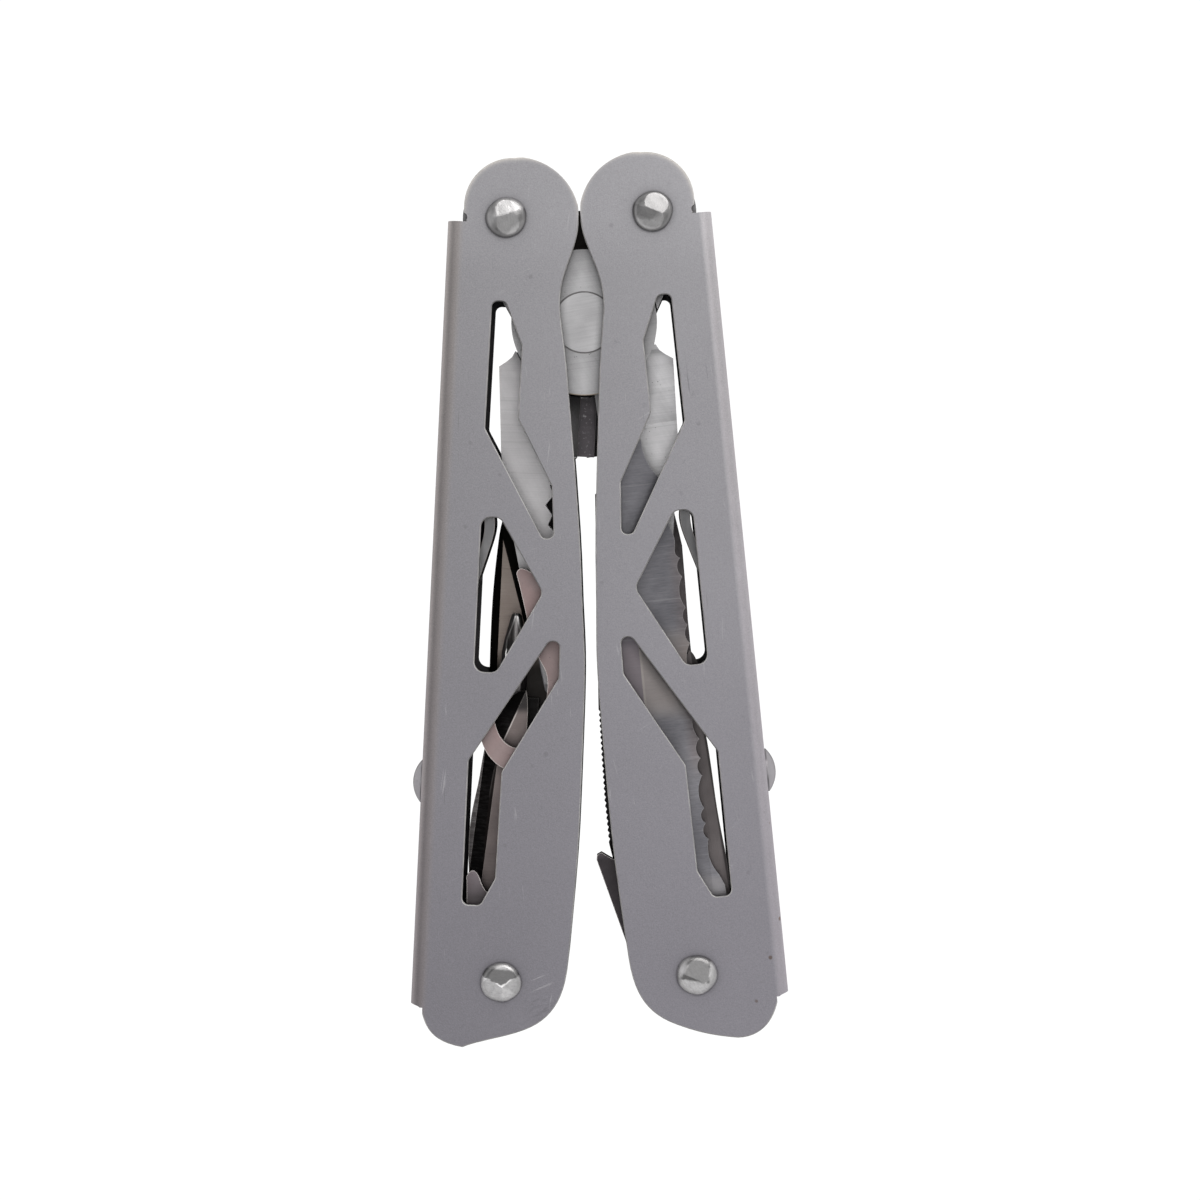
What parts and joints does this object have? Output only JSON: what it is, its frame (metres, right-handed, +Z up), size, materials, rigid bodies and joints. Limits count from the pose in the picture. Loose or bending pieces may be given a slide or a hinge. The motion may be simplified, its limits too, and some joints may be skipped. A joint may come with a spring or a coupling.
{
  "type": "folding multi tool",
  "caption": "Folding plier multi tool with pierced sheet-steel channel handles that hold swing-out blades, drivers, openers and a file beside a needle-nose plier head.",
  "frame": {"origin": "centre of the footprint in the plane of the four back rivet heads that the tool rests on", "axes": "+Y along the tool towards the plier tang end, +Z up through the front side plates, +X to the side of the right handle"},
  "size_m": [0.0436, 0.1024, 0.0166],
  "materials": {
    "handle_steel": "bead blasted satin",
    "rivet_steel": "hammered, bright",
    "plier_steel": "ground, fine straight grain",
    "washer_steel": "stamped, satin",
    "spring_steel": "dark tempered satin",
    "tool_steel": "tumbled satin, warm tone",
    "blade_steel": "cross ground satin",
    "file_steel": "dark, cut teeth"
  },
  "bodies": {
    "front_plier_half": {"plier_jaw_front": "plier_steel", "plier_pivot_pin": "plier_steel"},
    "rear_plier_half": {"plier_jaw_rear": "plier_steel"},
    "left_handle": {"left_handle_shell": "handle_steel", "left_handle_rivet": "rivet_steel", "left_tool_rivet": "rivet_steel", "left_pivot_washers": "washer_steel", "left_tool_washers": "washer_steel", "left_back_spring": "spring_steel", "left_spring_rivet": "rivet_steel"},
    "right_handle": {"right_handle_shell": "handle_steel", "right_handle_rivet": "rivet_steel", "right_tool_rivet": "rivet_steel", "right_pivot_washers": "washer_steel", "right_tool_washers": "washer_steel", "right_back_spring": "spring_steel", "right_spring_rivet": "rivet_steel"},
    "bottle_opener": {"bottle_opener": "tool_steel"},
    "reamer_awl": {"reamer_awl": "tool_steel"},
    "phillips_screwdriver": {"phillips_screwdriver": "tool_steel"},
    "small_screwdriver": {"small_screwdriver": "tool_steel"},
    "knife_blade": {"knife_blade": "blade_steel"},
    "serrated_knife": {"serrated_knife": "blade_steel"},
    "narrow_screwdriver": {"narrow_screwdriver": "tool_steel"},
    "can_opener": {"can_opener": "tool_steel"},
    "wide_screwdriver": {"wide_screwdriver": "tool_steel"},
    "metal_file": {"metal_file": "file_steel"}
  },
  "joints": [
    {"name": "left_handle_unfold", "type": "hinge", "parent": "front_plier_half", "child": "left_handle", "pos_m": [-0.00841, 0.0441, 0.0083], "axis": [0, 0, -1], "range_deg": [0, 155]},
    {"name": "right_handle_unfold", "type": "hinge", "parent": "rear_plier_half", "child": "right_handle", "pos_m": [0.00841, 0.04439, 0.0083], "axis": [0, 0, 1], "range_deg": [0, 155]},
    {"name": "plier_jaws", "type": "hinge", "parent": "front_plier_half", "child": "rear_plier_half", "pos_m": [0.00021, 0.03195, 0.0083], "axis": [0, 0, 1], "range_deg": [0, 10.8]},
    {"name": "bottle_opener_swing", "type": "hinge", "parent": "left_handle", "child": "bottle_opener", "pos_m": [-0.0113, -0.0438, 0.0083], "axis": [0, 0, -1], "range_deg": [0, 180]},
    {"name": "reamer_awl_swing", "type": "hinge", "parent": "left_handle", "child": "reamer_awl", "pos_m": [-0.0113, -0.0438, 0.0083], "axis": [0, 0, -1], "range_deg": [0, 180]},
    {"name": "phillips_screwdriver_swing", "type": "hinge", "parent": "left_handle", "child": "phillips_screwdriver", "pos_m": [-0.0113, -0.0438, 0.0083], "axis": [0, 0, -1], "range_deg": [0, 180]},
    {"name": "small_screwdriver_swing", "type": "hinge", "parent": "left_handle", "child": "small_screwdriver", "pos_m": [-0.0113, -0.0438, 0.0083], "axis": [0, 0, -1], "range_deg": [0, 180]},
    {"name": "knife_blade_swing", "type": "hinge", "parent": "left_handle", "child": "knife_blade", "pos_m": [-0.0113, -0.0438, 0.0083], "axis": [0, 0, -1], "range_deg": [0, 180]},
    {"name": "serrated_knife_swing", "type": "hinge", "parent": "right_handle", "child": "serrated_knife", "pos_m": [0.0113, -0.04351, 0.0083], "axis": [0, 0, 1], "range_deg": [0, 180]},
    {"name": "narrow_screwdriver_swing", "type": "hinge", "parent": "right_handle", "child": "narrow_screwdriver", "pos_m": [0.0113, -0.04351, 0.0083], "axis": [0, 0, 1], "range_deg": [0, 180]},
    {"name": "can_opener_swing", "type": "hinge", "parent": "right_handle", "child": "can_opener", "pos_m": [0.0113, -0.04351, 0.0083], "axis": [0, 0, 1], "range_deg": [0, 180]},
    {"name": "wide_screwdriver_swing", "type": "hinge", "parent": "right_handle", "child": "wide_screwdriver", "pos_m": [0.0113, -0.04351, 0.0083], "axis": [0, 0, 1], "range_deg": [0, 180]},
    {"name": "metal_file_swing", "type": "hinge", "parent": "right_handle", "child": "metal_file", "pos_m": [0.0113, -0.04351, 0.0083], "axis": [0, 0, 1], "range_deg": [0, 180]}
  ],
  "couplings": [
    {"joint": "plier_jaws", "follows": "left_handle_unfold", "ratio": 0.0684},
    {"joint": "bottle_opener_swing", "follows": "left_handle_unfold", "ratio": 1},
    {"joint": "reamer_awl_swing", "follows": "left_handle_unfold", "ratio": 1.12},
    {"joint": "phillips_screwdriver_swing", "follows": "left_handle_unfold", "ratio": 0.88},
    {"joint": "small_screwdriver_swing", "follows": "left_handle_unfold", "ratio": 1.06},
    {"joint": "knife_blade_swing", "follows": "left_handle_unfold", "ratio": 0.8},
    {"joint": "serrated_knife_swing", "follows": "right_handle_unfold", "ratio": 0.8},
    {"joint": "narrow_screwdriver_swing", "follows": "right_handle_unfold", "ratio": 1.12},
    {"joint": "can_opener_swing", "follows": "right_handle_unfold", "ratio": 1},
    {"joint": "wide_screwdriver_swing", "follows": "right_handle_unfold", "ratio": 0.9},
    {"joint": "metal_file_swing", "follows": "right_handle_unfold", "ratio": 0.86}
  ]
}
